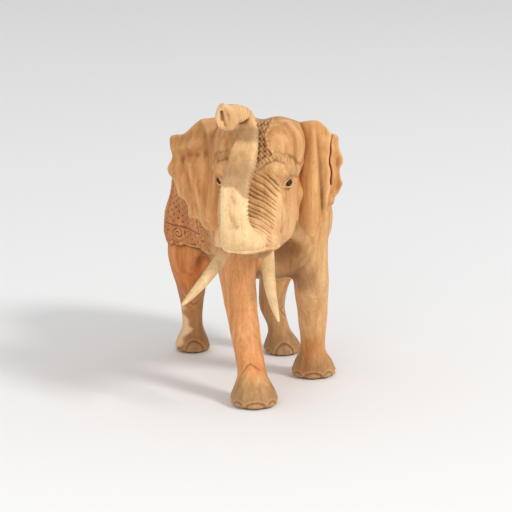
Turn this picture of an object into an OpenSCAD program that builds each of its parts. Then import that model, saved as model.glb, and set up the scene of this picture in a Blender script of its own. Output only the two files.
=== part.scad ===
// Carved wooden elephant, walking, with its trunk raised and its head turned to its right.
// Millimetres. +X is the elephant's left, -Y is the way it walks, +Z is up, and the floor is z = 0.
// It is glued up from blocks of one timber: torso, head, trunk, two ears and four lower legs,
// each located by round dowels. Tusks and glass eyes are let into sockets bored in the head.

/* [Body] */
// Half width of the barrel at the hips
hip_w = 132; // [124:1:136]
// Half width of the barrel over the ribs
rib_w = 116; // [110:1:120]
// Height of the back above the floor
back_z = 430; // [422:1:436]
// Height of the belly above the floor
belly_z = 168; // [164:1:172]
// Distance from the middle of the barrel to the front of the chest
chest_l = 172; // [166:1:176]
// Distance from the middle of the barrel to the back of the rump
rump_l = 226; // [218:1:232]
// How far the carved saddle cloth stands out from the flanks
cloth_t = 4; // [3:0.5:5]

/* [Legs] */
// Height of the glued joint at the top of each lower leg
leg_joint_z = 156; // [150:1:160]
// Half width of a front foot
front_foot_r = 40; // [38:0.5:42]
// Half width of a hind foot
hind_foot_r = 34; // [32:0.5:36]

/* [Head] */
// How far the head is turned from the way the body points, in degrees
head_turn = 27; // [25:0.5:28]
// Half width over the two domes of the forehead
dome_w = 73; // [71:0.5:75]
// Diameter of a glass eye
eye_d = 12; // [10:0.5:13]

/* [Ears] */
// Thickness of an ear
ear_t = 13; // [11:0.5:15]
// How far the right ear sweeps back from straight sideways, in degrees
right_sweep = 14; // [11:1:17]
// How far the left ear sweeps back from straight sideways, in degrees
left_sweep = 24; // [21:1:27]

/* [Tusks] */
// Radius of a tusk where it leaves the muzzle
tusk_r = 10.5; // [9.5:0.25:11]
// Radius of the round tenon that holds a tusk
tenon_r = 6; // [5:0.5:7]
// Length of that tenon
tenon_l = 24; // [18:1:26]

/* [Dowels] */
// Radius of the dowels in the neck
neck_dowel_r = 7; // [6:0.5:8]
// Radius of the dowels in the legs and the trunk
leg_dowel_r = 5; // [4:0.5:6]
// Radius of the dowels in the ears
ear_dowel_r = 2.5; // [2:0.25:3]
// Gap left for glue round each dowel, tenon and eye
glue = 0.05; // [0.03:0.01:0.1]

/* [Hidden] */
big = 900;              // larger than the whole object
ring_n = 20;            // points round each section of a carved block
head_at = [-52, -186];  // middle of the head, over the floor
floor_shift = [38, 58.5]; // puts the origin under the middle of the carving's outer box

module at_home() translate([floor_shift[0], floor_shift[1], 0]) children();

// ---- curves and sections ----

// Point at share t of the way from b to c on the smooth curve through a, b, c and d.
function blend(a, b, c, d, t) =
    0.5 * (2 * b + (c - a) * t + (2 * a - 5 * b + 4 * c - d) * t * t
        + (3 * b - a - 3 * c + d) * t * t * t);

// The vectors of p, with steps - 1 more put between each two of them.
function smooth(p, steps = 2) = [
    for (i = [0 : len(p) - 2]) for (k = [0 : steps - 1])
        blend(p[max(i - 1, 0)], p[i], p[i + 1], p[min(i + 2, len(p) - 1)], k / steps),
    p[len(p) - 1]
];

// Points round a section: centre c, half axes u and v. bulge over 1 fills its corners.
function ring(c, u, v, bulge = 1) = [
    for (k = [0 : ring_n - 1])
        let (
            a = 360 * k / ring_n,
            s = pow(pow(abs(cos(a)), 2 * bulge) + pow(abs(sin(a)), 2 * bulge), -0.5 / bulge))
        c + s * (cos(a) * u + sin(a) * v)
];

// A closed solid through a list of rings, going the way that u x v points.
module loft(rings) {
    n = len(rings[0]);
    last = len(rings) - 1;
    polyhedron(
        points = [for (r = rings) each r],
        faces = [
            [for (k = [0 : n - 1]) k],
            for (j = [0 : last - 1]) for (k = [0 : n - 1])
                each [
                    [j * n + k, (j + 1) * n + k, (j + 1) * n + (k + 1) % n],
                    [j * n + k, (j + 1) * n + (k + 1) % n, j * n + (k + 1) % n]
                ],
            [for (k = [n - 1 : -1 : 0]) last * n + k]
        ]);
}

// Direction of path p at point i.
function heading(p, i) =
    let (
        a = p[max(i - 1, 0)],
        b = p[min(i + 1, len(p) - 1)],
        d = [b[0] - a[0], b[1] - a[1], b[2] - a[2]])
    d / norm(d);

// ---- barrel: share of its length, share of its half width, share of its half height ----

barrel_profile = [
    [0, 0.16, 0.16], [0.02, 0.42, 0.40], [0.08, 0.70, 0.66], [0.2, 0.90, 0.86], [0.4, 0.98, 0.98],
    [0.6, 1, 1], [0.76, 1, 0.97], [0.88, 0.84, 0.84], [0.96, 0.55, 0.56], [1, 0.16, 0.18]
];
function barrel_w(t) = rib_w + (hip_w - rib_w) * min(1, max(0, (t - 0.45) / 0.35));

module barrel(grow = 0) {
    mid_z = (back_z + belly_z) / 2;
    half_h = (back_z - belly_z) / 2;
    loft([
        for (s = smooth(barrel_profile))
            ring([0, (rump_l + chest_l) * s[0] - chest_l, mid_z + 6 * (1 - s[2])],
                [-s[1] * barrel_w(s[0]) - grow, 0, 0], [0, 0, s[2] * half_h + grow], 1.1)
    ]);
}

// Tail, carved against the rump: x, y, z, half width, half depth.
tail_path = [
    [0, 200, 400, 9, 9], [0, 219, 372, 9, 9], [0, 229, 340, 8, 8], [2, 233, 300, 7, 8],
    [5, 229, 262, 7, 9], [8, 219, 232, 9, 12], [9, 209, 208, 9, 12], [9, 202, 192, 4, 6]
];

// ---- legs: x, y, z, half width, half depth, from the sole up into the torso ----

front_sole = 0.86 * front_foot_r;
hind_sole = 0.86 * hind_foot_r;
leg_front_right_path = [
    [-67, -207, 0, front_sole, front_sole], [-67, -207, 9, front_foot_r, front_foot_r + 1],
    [-67, -204, 28, 0.84 * front_foot_r, 0.87 * front_foot_r], [-67, -198, 48, 25, 28],
    [-69, -187, 72, 23.5, 27], [-71, -172, 103, 25, 28], [-72, -156, 134, 26, 31],
    [-74, -141, 170, 28, 37], [-76, -128, 210, 30, 46], [-74, -116, 262, 33, 54],
    [-62, -106, 325, 26, 50]
];
leg_front_left_path = [
    [82, -60, 0, front_sole, 0.94 * front_sole], [82, -60, 9, front_foot_r, 0.95 * front_foot_r],
    [81, -62, 28, 0.82 * front_foot_r, 0.84 * front_foot_r], [78, -67, 46, 23.5, 27],
    [76, -73, 68, 21.5, 26], [73, -82, 107, 24.5, 28], [69, -90, 145, 27, 31],
    [65, -97, 182, 30, 37], [61, -101, 237, 30, 46], [57, -104, 285, 30, 52], [54, -104, 330, 26, 50]
];
leg_hind_right_path = [
    [-88, 165, 0, hind_sole, hind_sole], [-88, 165, 8, 0.96 * hind_foot_r, hind_foot_r],
    [-87, 166, 24, 0.85 * hind_foot_r, 0.88 * hind_foot_r], [-86, 168, 40, 20.5, 24],
    [-87, 166, 57, 18.5, 23], [-89, 162, 77, 20, 25], [-91, 156, 100, 22, 30],
    [-95, 142, 138, 28, 40], [-100, 130, 175, 36, 54], [-99, 126, 215, 42, 64],
    [-93, 126, 270, 46, 68], [-78, 124, 330, 42, 62]
];
leg_hind_left_path = [
    [71, 105, 0, hind_sole, 1.06 * hind_sole], [71, 105, 8, 1.04 * hind_foot_r, 1.08 * hind_foot_r],
    [70, 106, 24, 0.9 * hind_foot_r, 0.95 * hind_foot_r], [67, 110, 41, 21, 25],
    [62, 113, 59, 20, 24], [55, 115, 80, 23, 27], [53, 115, 100, 24, 30],
    [59, 117, 138, 27, 40], [76, 120, 175, 38, 54], [88, 124, 215, 44, 64],
    [90, 126, 270, 44, 68], [78, 124, 330, 42, 62]
];

module whole_leg(path, grow = 0)
    loft([
        for (s = smooth(path))
            ring([s[0], s[1], s[2]], [s[3] + grow, 0, 0], [0, s[4] + grow, 0], 1.05)
    ]);

module below_joint() translate([-big / 2, -big / 2, leg_joint_z - big]) cube(big);

// Middle of each leg's section where it meets the torso.
leg_tops = [[-73, -147], [68, -92], [-97, 136], [67, 118]];
leg_dowel_gap = 26;  // between the two dowels of one leg, along the body
leg_dowel_l = 50;

module leg_pins(at, r)
    for (side = [-0.5, 0.5])
        translate([at[0], at[1] + side * leg_dowel_gap, leg_joint_z - leg_dowel_l / 2])
            cylinder(h = leg_dowel_l, r = r, $fn = 48);

module leg(path, at) color("peru") at_home() difference() {
    intersection() {
        whole_leg(path);
        below_joint();
    }
    leg_pins(at, leg_dowel_r + glue);
}

// ---- saddle cloth, carved over the back and flanks ----

cloth_front = -40;  // front edge, along the body
cloth_back = 150;   // back edge
cloth_hem_z = 226;  // lower edge

module saddle_cloth() intersection() {
    translate([-big / 2, cloth_front, cloth_hem_z]) cube([big, cloth_back - cloth_front, big]);
    union() {
        barrel(cloth_t);
        whole_leg(leg_hind_right_path, cloth_t);
        whole_leg(leg_hind_left_path, cloth_t);
    }
}

// ---- neck: a sloping glued plane between head and torso ----

neck_at = [-28, -140, 340];  // a point on the plane, on the neck's axis
neck_lean = 40;              // slope of the plane's normal above level, in degrees
neck_turn = 14;              // turn of that normal from the way the body points

// Local +Z is the plane's normal, from torso to head.
module on_neck() translate(neck_at) rotate([0, 0, -neck_turn]) rotate([90 - neck_lean, 0, 0]) children();

module head_side() on_neck() translate([-big / 2, -big / 2, 0]) cube(big);

neck_dowel_l = 70;
module neck_pins(r)
    on_neck() for (p = [[-26, -12], [26, -12], [0, 30]])
        translate([p[0], p[1], -neck_dowel_l / 2]) cylinder(h = neck_dowel_l, r = r, $fn = 48);

// From inside the barrel to inside the head: centre, half width, half height.
neck_path = [
    [0, -60, 316, 88, 92], [-8, -105, 328, 84, 90], [-24, -140, 344, 74, 84],
    [-40, -170, 362, 62, 74], [-48, -190, 372, 50, 60]
];

module neck()
    loft([
        for (s = smooth(neck_path))
            ring([s[0], s[1], s[2]], [s[3] * cos(neck_turn), -s[3] * sin(neck_turn), 0], [0, 0, s[4]])
    ]);

// ---- head, in its own frame: +X its left, -Y the way it faces ----

module on_head() translate([head_at[0], head_at[1], 0]) rotate([0, 0, -head_turn]) children();

// From jaw to crown: height, how far forward, half width, half depth.
skull_path = [
    [262, 24, 22, 26], [270, 24, 38, 42], [290, 18, 54, 56], [320, 12, 60, 62], [350, 9, 62, 66],
    [381, 8, 64, 69], [408, 5, 68, 69], [437, 0, 72, 68], [462, -4, 66, 56], [476, -6, 50, 38],
    [483, -6, 22, 16]
];
// From inside the face forward to the trunk: how far forward, height, half width, half height.
muzzle_path = [[20, 362, 50, 58], [50, 346, 52, 62], [78, 322, 50, 43], [98, 304, 45, 28]];
muzzle_front = 98;  // distance of the trunk's glued joint in front of the middle of the head

module skull()
    loft([
        for (s = smooth(skull_path))
            ring([0, -s[1], s[0]], [s[2] * dome_w / 72, 0, 0], [0, s[3], 0], 1.1)
    ]);

module muzzle()
    loft([
        for (s = smooth(muzzle_path))
            ring([0, -s[0], s[1]], [s[2], 0, 0], [0, 0, s[3]], 1.15)
    ]);

// ---- trunk: its middle [x, y, z], half width, half thickness ----

trunk_path = [
    [0, -muzzle_front, 304, 45, 28], [-1, -110, 301, 43, 24], [-4, -124, 302, 36, 22],
    [-8, -135, 314, 28, 20], [-11, -141, 336, 23, 18], [-11, -142, 365, 22.5, 17],
    [-10, -138, 393, 23, 17], [-5, -121, 418, 23, 17], [-3, -101, 441, 21, 16],
    [-1, -85, 462, 17, 15], [-3, -74, 478, 15, 14], [-8, -71, 491, 14, 14], [-14, -79, 499, 14, 13],
    [-20, -92, 500, 15, 15], [-25, -105, 499, 16, 18], [-29, -116, 497, 17, 21]
];
trunk_side = [1, 0, 0];

module whole_trunk() {
    path = smooth(trunk_path);
    loft([
        for (i = [0 : len(path) - 1])
            let (
                s = path[i],
                t = i == 0 ? [0, -1, 0] : heading(path, i),
                v = cross(t, trunk_side) / norm(cross(t, trunk_side)),
                u = cross(v, t))
            ring([s[0], s[1], s[2]], s[3] * u, s[4] * v, 1.15)
    ]);
}

trunk_dowel_l = 40;
module trunk_pins(r)
    on_head() for (side = [-17, 17])
        translate([side, trunk_dowel_l / 2 - muzzle_front, 304]) rotate([90, 0, 0])
            cylinder(h = trunk_dowel_l, r = r, $fn = 48);

// ---- ears ----

// Outline of each ear from its lower tip to its top: height, how far out the root side
// begins and how far out the rim is.
ear_root_in = -14;  // how far out the glued root begins; it is let into the head
right_outline = [
    [262, 15, 21], [270, 14, 28], [283, 13, 40], [296, 12, 51], [306, 10, 72],
    [320, ear_root_in, 76], [331, ear_root_in, 84], [342, ear_root_in, 96],
    [358, ear_root_in, 99], [374, ear_root_in, 112], [386, ear_root_in, 114],
    [400, ear_root_in, 109], [418, ear_root_in, 108], [434, ear_root_in, 107],
    [443, ear_root_in, 99], [449, ear_root_in, 72], [462, ear_root_in, 54],
    [472, ear_root_in, 40], [478, 0, 24]
];
left_outline = [
    [281, 18, 24], [290, 9, 31], [302, 3, 40], [314, -2, 52], [326, ear_root_in, 58],
    [338, ear_root_in, 63], [352, ear_root_in, 70], [366, ear_root_in, 77],
    [382, ear_root_in, 74], [394, ear_root_in, 74], [405, ear_root_in, 79],
    [420, ear_root_in, 74], [432, ear_root_in, 70], [446, ear_root_in, 71],
    [452, ear_root_in, 57], [464, ear_root_in, 45], [473, ear_root_in, 36], [478, 8, 28]
];
ear_root = [60, 26];    // middle of an ear's root: out from the head's middle, and back
ear_cup = 10;           // how far the middle of an ear bows forward
ear_cells = 6;          // facets across the width of an ear

// A point of an ear: side is 1 for left and -1 for right, out is the distance from the
// root, offset is the distance in front of the middle of its thickness.
function ear_point(side, sweep, z, out, offset) =
    let (bow = ear_cup * sin(max(0, min(180, 180 * out / 90))) + offset)
    [
        side * (ear_root[0] + out * cos(sweep) - bow * sin(sweep)),
        ear_root[1] + out * sin(sweep) - bow * cos(sweep),
        z
    ];

module ear_blank(side, sweep, outline)
    on_head() loft([
        for (row = smooth(outline, 1))
            let (
                at = [for (i = [0 : ear_cells]) row[1] + (row[2] - row[1]) * i / ear_cells],
                back = [for (d = at) ear_point(side, sweep, row[0], d, -ear_t / 2)],
                front = [for (i = [ear_cells : -1 : 0]) ear_point(side, sweep, row[0], at[i], ear_t / 2)],
                loop = concat(back, front))
            side < 0 ? loop : [for (i = [len(loop) - 1 : -1 : 0]) loop[i]]
    ]);

module ear_right_blank() ear_blank(-1, right_sweep, right_outline);
module ear_left_blank() ear_blank(1, left_sweep, left_outline);

ear_dowel_l = 30;
ear_dowel_z = [355, 410];
module ear_pins(side, sweep, r)
    on_head() for (z = ear_dowel_z)
        translate([side * ear_root[0], ear_root[1], z]) rotate([0, 0, side * sweep])
            translate([side * (ear_root_in - ear_dowel_l / 2), 0, 0]) rotate([0, side * 90, 0])
                cylinder(h = ear_dowel_l, r = r, $fn = 48);

// ---- tusks: middle [x, y, z] in the head's frame, share of tusk_r ----

tusk_right_path = [
    [-35, -79, 287, 1], [-40, -88, 273, 1], [-50, -105, 254, 0.96], [-62, -126, 236, 0.87],
    [-74, -149, 220, 0.68], [-84, -171, 208, 0.42], [-89, -182, 203, 0.14]
];
tusk_left_path = [
    [28, -75, 288, 1], [31, -83, 273, 1], [35, -97, 254, 1], [40, -113, 235, 0.95],
    [47, -130, 216, 0.8], [56, -146, 197, 0.56], [63, -156, 182, 0.26], [65, -159, 178, 0.12]
];

// Local +Z runs from the tusk's seat up into the head.
module on_tusk_seat(path) {
    d = -heading(path, 0);
    translate([path[0][0], path[0][1], path[0][2]])
        rotate([0, acos(d[2]), atan2(d[1], d[0])]) children();
}

module tusk(path) color("ivory") at_home() on_head() {
    fine = smooth(path);
    loft([
        for (i = [0 : len(fine) - 1])
            let (
                t = i < 2 ? heading(path, 0) : heading(fine, i),
                u = cross(t, [1, 0, 0]) / norm(cross(t, [1, 0, 0])),
                v = cross(t, u),
                r = tusk_r * fine[i][3])
            ring([fine[i][0], fine[i][1], fine[i][2]], r * u, r * v)
    ]);
    on_tusk_seat(path) translate([0, 0, -1]) cylinder(h = tenon_l + 1, r = tenon_r, $fn = 48);
}

// Stepped socket for a tusk: a recess for its root and a bore for its tenon.
module tusk_socket(path)
    on_head() on_tusk_seat(path) {
        translate([0, 0, -30]) cylinder(h = 30, r = tusk_r + glue, $fn = 48);
        translate([0, 0, -1]) cylinder(h = tenon_l + 2, r = tenon_r + glue, $fn = 48);
    }

// ---- eyes: a glass dome on a short round shank ----

eye_at = [57, -43, 384];  // left eye: out, back, height
eye_face = 60;            // turn of the eye's axis from straight ahead, in degrees
eye_seat = 7;             // depth of the socket below the rim of the dome

module on_eye(side)
    on_head() translate([side * eye_at[0], eye_at[1], eye_at[2]])
        rotate([0, 0, side * eye_face]) rotate([90, 0, 0]) children();

module eye(side) color("black") at_home() on_eye(side) {
    translate([0, 0, -eye_seat]) cylinder(h = eye_seat, r = eye_d / 2, $fn = 48);
    intersection() {
        translate([0, 0, -1]) sphere(r = eye_d / 2, $fn = 48);
        translate([-eye_d, -eye_d, -0.5]) cube([2 * eye_d, 2 * eye_d, eye_d]);
    }
}

module eye_socket(side)
    on_eye(side) translate([0, 0, -eye_seat - glue]) cylinder(h = 4 * eye_seat, r = eye_d / 2 + glue, $fn = 48);

// ---- the pieces ----

module torso() color("burlywood") at_home() difference() {
    union() {
        difference() {
            union() {
                barrel();
                neck();
            }
            head_side();
        }
        saddle_cloth();
        for (path = [leg_front_right_path, leg_front_left_path, leg_hind_right_path, leg_hind_left_path])
            difference() {
                whole_leg(path);
                below_joint();
                head_side();
            }
        loft([for (s = smooth(tail_path)) ring([s[0], s[1], s[2]], [-s[3], 0, 0], [0, s[4], 0])]);
    }
    ear_right_blank();
    ear_left_blank();
    for (at = leg_tops) leg_pins(at, leg_dowel_r + glue);
    neck_pins(neck_dowel_r + glue);
}

module head() color("tan") at_home() difference() {
    intersection() {
        union() {
            on_head() {
                skull();
                muzzle();
            }
            neck();
        }
        head_side();
    }
    ear_right_blank();
    ear_left_blank();
    ear_pins(-1, right_sweep, ear_dowel_r + glue);
    ear_pins(1, left_sweep, ear_dowel_r + glue);
    neck_pins(neck_dowel_r + glue);
    trunk_pins(leg_dowel_r + glue);
    tusk_socket(tusk_right_path);
    tusk_socket(tusk_left_path);
    eye_socket(-1);
    eye_socket(1);
}

module trunk() color("wheat") at_home() difference() {
    on_head() whole_trunk();
    trunk_pins(leg_dowel_r + glue);
}

module ear_right() color("sandybrown") at_home() difference() {
    ear_right_blank();
    ear_pins(-1, right_sweep, ear_dowel_r + glue);
}

module ear_left() color("sandybrown") at_home() difference() {
    ear_left_blank();
    ear_pins(1, left_sweep, ear_dowel_r + glue);
}

module tusk_right() tusk(tusk_right_path);
module tusk_left() tusk(tusk_left_path);
module eye_right() eye(-1);
module eye_left() eye(1);
module leg_front_right() leg(leg_front_right_path, leg_tops[0]);
module leg_front_left() leg(leg_front_left_path, leg_tops[1]);
module leg_hind_right() leg(leg_hind_right_path, leg_tops[2]);
module leg_hind_left() leg(leg_hind_left_path, leg_tops[3]);

module neck_dowels() color("saddlebrown") at_home() neck_pins(neck_dowel_r);
module trunk_dowels() color("saddlebrown") at_home() trunk_pins(leg_dowel_r);

module ear_dowels() color("saddlebrown") at_home() {
    ear_pins(-1, right_sweep, ear_dowel_r);
    ear_pins(1, left_sweep, ear_dowel_r);
}

module leg_dowels() color("saddlebrown") at_home()
    for (at = leg_tops) leg_pins(at, leg_dowel_r);

torso();
head();
trunk();
ear_right();
ear_left();
tusk_right();
tusk_left();
eye_right();
eye_left();
leg_front_right();
leg_front_left();
leg_hind_right();
leg_hind_left();
neck_dowels();
trunk_dowels();
ear_dowels();
leg_dowels();
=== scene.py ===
"""Looks of the carved wooden elephant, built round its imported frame.

The carved pieces are made from distance fields: the frame's own solids are read as distances,
melted together so that the blocks flow into each other, carved with folds, nails, domes and
ornament, skinned, and cut apart again at the glued joints. Lengths in this script are
millimetres in the drawing frame of the CAD part; SHIFT moves that to the row's frame.
"""

import math
from itertools import product

import bmesh
import bpy
import numpy as np
import openvdb
from mathutils import Matrix, Vector


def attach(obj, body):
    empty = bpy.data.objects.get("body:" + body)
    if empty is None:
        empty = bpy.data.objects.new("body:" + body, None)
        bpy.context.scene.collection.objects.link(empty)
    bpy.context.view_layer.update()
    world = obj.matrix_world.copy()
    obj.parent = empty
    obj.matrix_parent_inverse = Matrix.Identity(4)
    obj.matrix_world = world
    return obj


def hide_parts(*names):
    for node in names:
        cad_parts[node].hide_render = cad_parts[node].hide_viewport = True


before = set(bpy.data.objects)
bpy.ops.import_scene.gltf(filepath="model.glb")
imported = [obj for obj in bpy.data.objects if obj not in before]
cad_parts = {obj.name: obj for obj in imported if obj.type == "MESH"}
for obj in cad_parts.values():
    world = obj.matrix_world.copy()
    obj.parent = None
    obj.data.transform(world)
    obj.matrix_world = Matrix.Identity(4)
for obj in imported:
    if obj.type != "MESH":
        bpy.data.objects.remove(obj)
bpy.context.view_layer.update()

SHIFT = np.array([38.0, 58.5, 0.0])  # drawing frame to row frame
MM = 0.001
LEG_JOINT_Z = 156.0
NECK_AT = np.array([-28.0, -140.0, 340.0])
NECK_LEAN = math.radians(40)
NECK_TURN = math.radians(14)
NECK_NORMAL = np.array([
    -math.sin(NECK_TURN) * math.cos(NECK_LEAN),
    -math.cos(NECK_TURN) * math.cos(NECK_LEAN),
    math.sin(NECK_LEAN),
])
MUZZLE_FRONT = 98.0
EYE_AT = (57.0, -43.0, 384.0)
EYE_TURN = math.radians(60)
WHOLE = 999  # top of a cut that goes through a whole piece
HOLLOW_BLUR, FOLD_BLUR = 2.6, 7.0  # widths over which small and large hollows are judged


# ---- grids and distance fields ----


class Place:
    """A frame of its own for a piece: local = turn @ (drawing - at)."""

    def __init__(self, at=(0, 0, 0), turn=((1, 0, 0), (0, 1, 0), (0, 0, 1))):
        self.at = np.array(at, float)
        self.turn = np.array(turn, float)

    def local(self, points):
        return (points - self.at) @ self.turn.T

    def drawing(self, points):
        return points @ self.turn + self.at

    def inside(self, at, turn):
        """The frame that stands at a place of this one, turned further."""
        return Place(self.drawing(np.array(at, float)), np.array(turn, float) @ self.turn)


def level_turn(angle):
    """Turn from a frame to one that is rotated about Z by angle, clockwise from above."""
    c, s = math.cos(angle), math.sin(angle)
    return ((c, -s, 0), (s, c, 0), (0, 0, 1))


BODY = Place()
HEAD = Place((-52, -186, 0), level_turn(math.radians(27)))


class Grid:
    """Sample points h apart in the box from low to high, in a piece's own frame."""

    def __init__(self, low, high, h, place=BODY):
        self.place = place
        self.low = np.array(low, float)
        self.h = float(h)
        self.n = np.ceil((np.array(high, float) - self.low) / h).astype(int) + 1
        steps = [np.arange(k, dtype=np.float32) * h + lo for k, lo in zip(self.n, low)]
        self.x = steps[0][:, None, None]
        self.y = steps[1][None, :, None]
        self.z = steps[2][None, None, :]

    def sample(self, field, points):
        """The field's value at each point, by blending the eight nearest samples."""
        at = np.clip((points - self.low) / self.h, 0, self.n - 1.001)
        i = at.astype(int)
        f = (at - i).astype(np.float32)
        total = np.zeros(len(points), np.float32)
        for dx, dy, dz in product((0, 1), repeat=3):
            share = (
                (f[:, 0] if dx else 1 - f[:, 0])
                * (f[:, 1] if dy else 1 - f[:, 1])
                * (f[:, 2] if dz else 1 - f[:, 2])
            )
            total += share * field[i[:, 0] + dx, i[:, 1] + dy, i[:, 2] + dz]
        return total

    def gradient(self, field, points):
        """Unit vectors in which the field rises fastest at each point."""
        step = self.h * 0.6
        slope = np.empty((len(points), 3))
        for axis in range(3):
            move = np.zeros(3)
            move[axis] = step
            slope[:, axis] = self.sample(field, points + move) - self.sample(field, points - move)
        size = np.linalg.norm(slope, axis=1)[:, None]
        return slope / np.maximum(size, 1e-9)


def read(items, key, width, kind=np.float64):
    """One property of each vertex, face or corner of a mesh, as rows of width numbers."""
    values = np.empty(len(items) * width, kind)
    items.foreach_get(key, values)
    return values.reshape(-1, width) if width > 1 else values


def drawing_mesh(node):
    """A frame node's vertices in the drawing frame, and its triangles."""
    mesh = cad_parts[node].data
    mesh.calc_loop_triangles()
    points = read(mesh.vertices, "co", 3, np.float32)
    return points / MM - SHIFT, read(mesh.loop_triangles, "vertices", 3, np.int32)


def node_box(name, place=BODY):
    """The lowest and highest corner of a frame node, in a piece's own frame."""
    points = place.local(drawing_mesh(name)[0])
    return points.min(axis=0), points.max(axis=0)


def steps_to(points, grid, reach, **faces):
    """Distance to a closed mesh, negative inside, with the mesh and the distance in grid steps."""
    level = openvdb.FloatGrid.createLevelSetFromPolygons(
        points.astype(np.float32),
        transform=openvdb.createLinearTransform(1.0),
        halfWidth=reach / grid.h,
        **{kind: corners.astype(np.uint32) for kind, corners in faces.items()},
    )
    steps = np.empty(tuple(grid.n), np.float32)
    level.copyToArray(steps)
    return steps


def solid(node, grid):
    """Distance to a frame node's surface, negative inside, true to within 26 mm."""
    points, corners = drawing_mesh(node)
    points = (grid.place.local(points) - grid.low) / grid.h
    return steps_to(points, grid, 26, triangles=corners) * grid.h


def melt(a, b, k):
    """The union of two fields, with the crease between them filled over a width of k."""
    h = np.maximum(k - np.abs(a - b), 0) / k
    return np.minimum(a, b) - h * h * k * 0.25


def carve(a, b, k):
    """Field a with b taken out of it, the edge eased over a width of k."""
    return -melt(-a, b, k)


def soften(field, sigma, h):
    """The field blurred by a bell curve sigma wide, in each direction in turn."""
    reach = int(math.ceil(2.5 * sigma / h))
    weights = np.exp(-0.5 * (np.arange(-reach, reach + 1) * h / sigma) ** 2)
    weights = (weights / weights.sum()).astype(np.float32)
    for axis in range(3):
        padding = [(0, 0)] * 3
        padding[axis] = (reach, reach)
        padded = np.pad(field, padding, mode="edge")
        size = field.shape[axis]
        total = np.zeros_like(field)
        for k, weight in enumerate(weights):
            part = [slice(None)] * 3
            part[axis] = slice(k, k + size)
            total += weight * padded[tuple(part)]
        field = total
    return field


def ellipsoid(x, y, z, centre, radii):
    """Roughly the distance to an ellipsoid."""
    u, v, w = ((a - c) / r for a, c, r in zip((x, y, z), centre, radii))
    near = np.sqrt(u * u + v * v + w * w)
    steep = np.sqrt((u / radii[0]) ** 2 + (v / radii[1]) ** 2 + (w / radii[2]) ** 2)
    return near * (near - 1) / np.maximum(steep, 1e-6)


def tube(x, y, z, points, radii):
    """Distance to a bent rod through points, of the given radius at each."""
    best = None
    for (a, ra), (b, rb) in zip(zip(points, radii), zip(points[1:], radii[1:])):
        d = [q - p for p, q in zip(a, b)]
        length = sum(v * v for v in d)
        t = ((x - a[0]) * d[0] + (y - a[1]) * d[1] + (z - a[2]) * d[2]) / length
        t = np.clip(t, 0, 1)
        gap = (x - a[0] - t * d[0]) ** 2 + (y - a[1] - t * d[1]) ** 2 + (z - a[2] - t * d[2]) ** 2
        away = np.sqrt(gap) - (ra + t * (rb - ra))
        best = away if best is None else np.minimum(best, away)
    return best


def stretch(a, b, c, d, steps):
    """Points from b up to but not at c, on a smooth curve that also passes a and d."""
    return [
        0.5 * (2 * b + (c - a) * t + (2 * a - 5 * b + 4 * c - d) * t * t + (3 * b - a - 3 * c + d) * t ** 3)
        for t in (k / steps for k in range(steps))
    ]


def spline(points, steps):
    """The rows of points, with steps - 1 more put smoothly between each two."""
    p = np.array(points, float)
    last = len(p) - 1
    out = []
    for i in range(last):
        out += stretch(p[max(i - 1, 0)], p[i], p[i + 1], p[min(i + 2, last)], steps)
    return np.array(out + [p[last]])


def bell(value, width):
    """1 where value is 0, falling smoothly to 0 over width."""
    return np.exp(-((value / width) ** 2))


def ramp(value, start, end):
    """0 before start, 1 after end and smooth between them."""
    t = np.clip((value - start) / (end - start), 0, 1)
    return t * t * (3 - 2 * t)


def eased_max(a, b, k):
    """The overlap of two fields, with its edge rounded over a width of k."""
    return -melt(-a, -b, k)


def redistance(field, grid, shell=0.5):
    """True distances to the outside of touching solids, with no sheet left between them."""
    boxed = np.pad(np.clip(field / grid.h, -3, 3), 1, constant_values=3).astype(np.float32)
    level = openvdb.FloatGrid(background=4.0)
    level.copyFromArray(boxed)
    points, quads = level.convertToQuads(isovalue=shell)
    return (steps_to(points - 1, grid, 20, quads=quads) + shell) * grid.h


def waviness(grid, size, seed):
    """Smooth random bumps between about -1 and 1, size apart, as a carver's knife leaves.

    They stay at the same places of a frame, whatever the grid in it."""
    count = int(1100 / size)
    heights = np.random.RandomState(seed).uniform(-1, 1, (count,) * 3).astype(np.float32)
    for axis in range(3):
        at = (np.arange(grid.n[axis]) * grid.h + grid.low[axis] + 500) / size
        i = at.astype(int)
        f = at - i
        f = (f * f * (3 - 2 * f)).astype(np.float32)
        shape = [1, 1, 1]
        shape[axis] = -1
        near, after = np.take(heights, i, axis), np.take(heights, i + 1, axis)
        heights = near + (after - near) * f.reshape(shape)
    return heights


def scored(field, grid, points, radius, ease=3.5):
    """The field with a crease cut along the skin past points, fading out at both ends."""
    line = spline(points, 4)
    for _ in range(5):
        value = grid.sample(field, line)
        line = line - value[:, None] * grid.gradient(field, line)
    radii = radius * np.sin(np.linspace(0.12, math.pi - 0.12, len(line))) ** 0.5
    return carve(field, tube(grid.x, grid.y, grid.z, line, radii), ease)


# ---- skins ----


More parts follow.
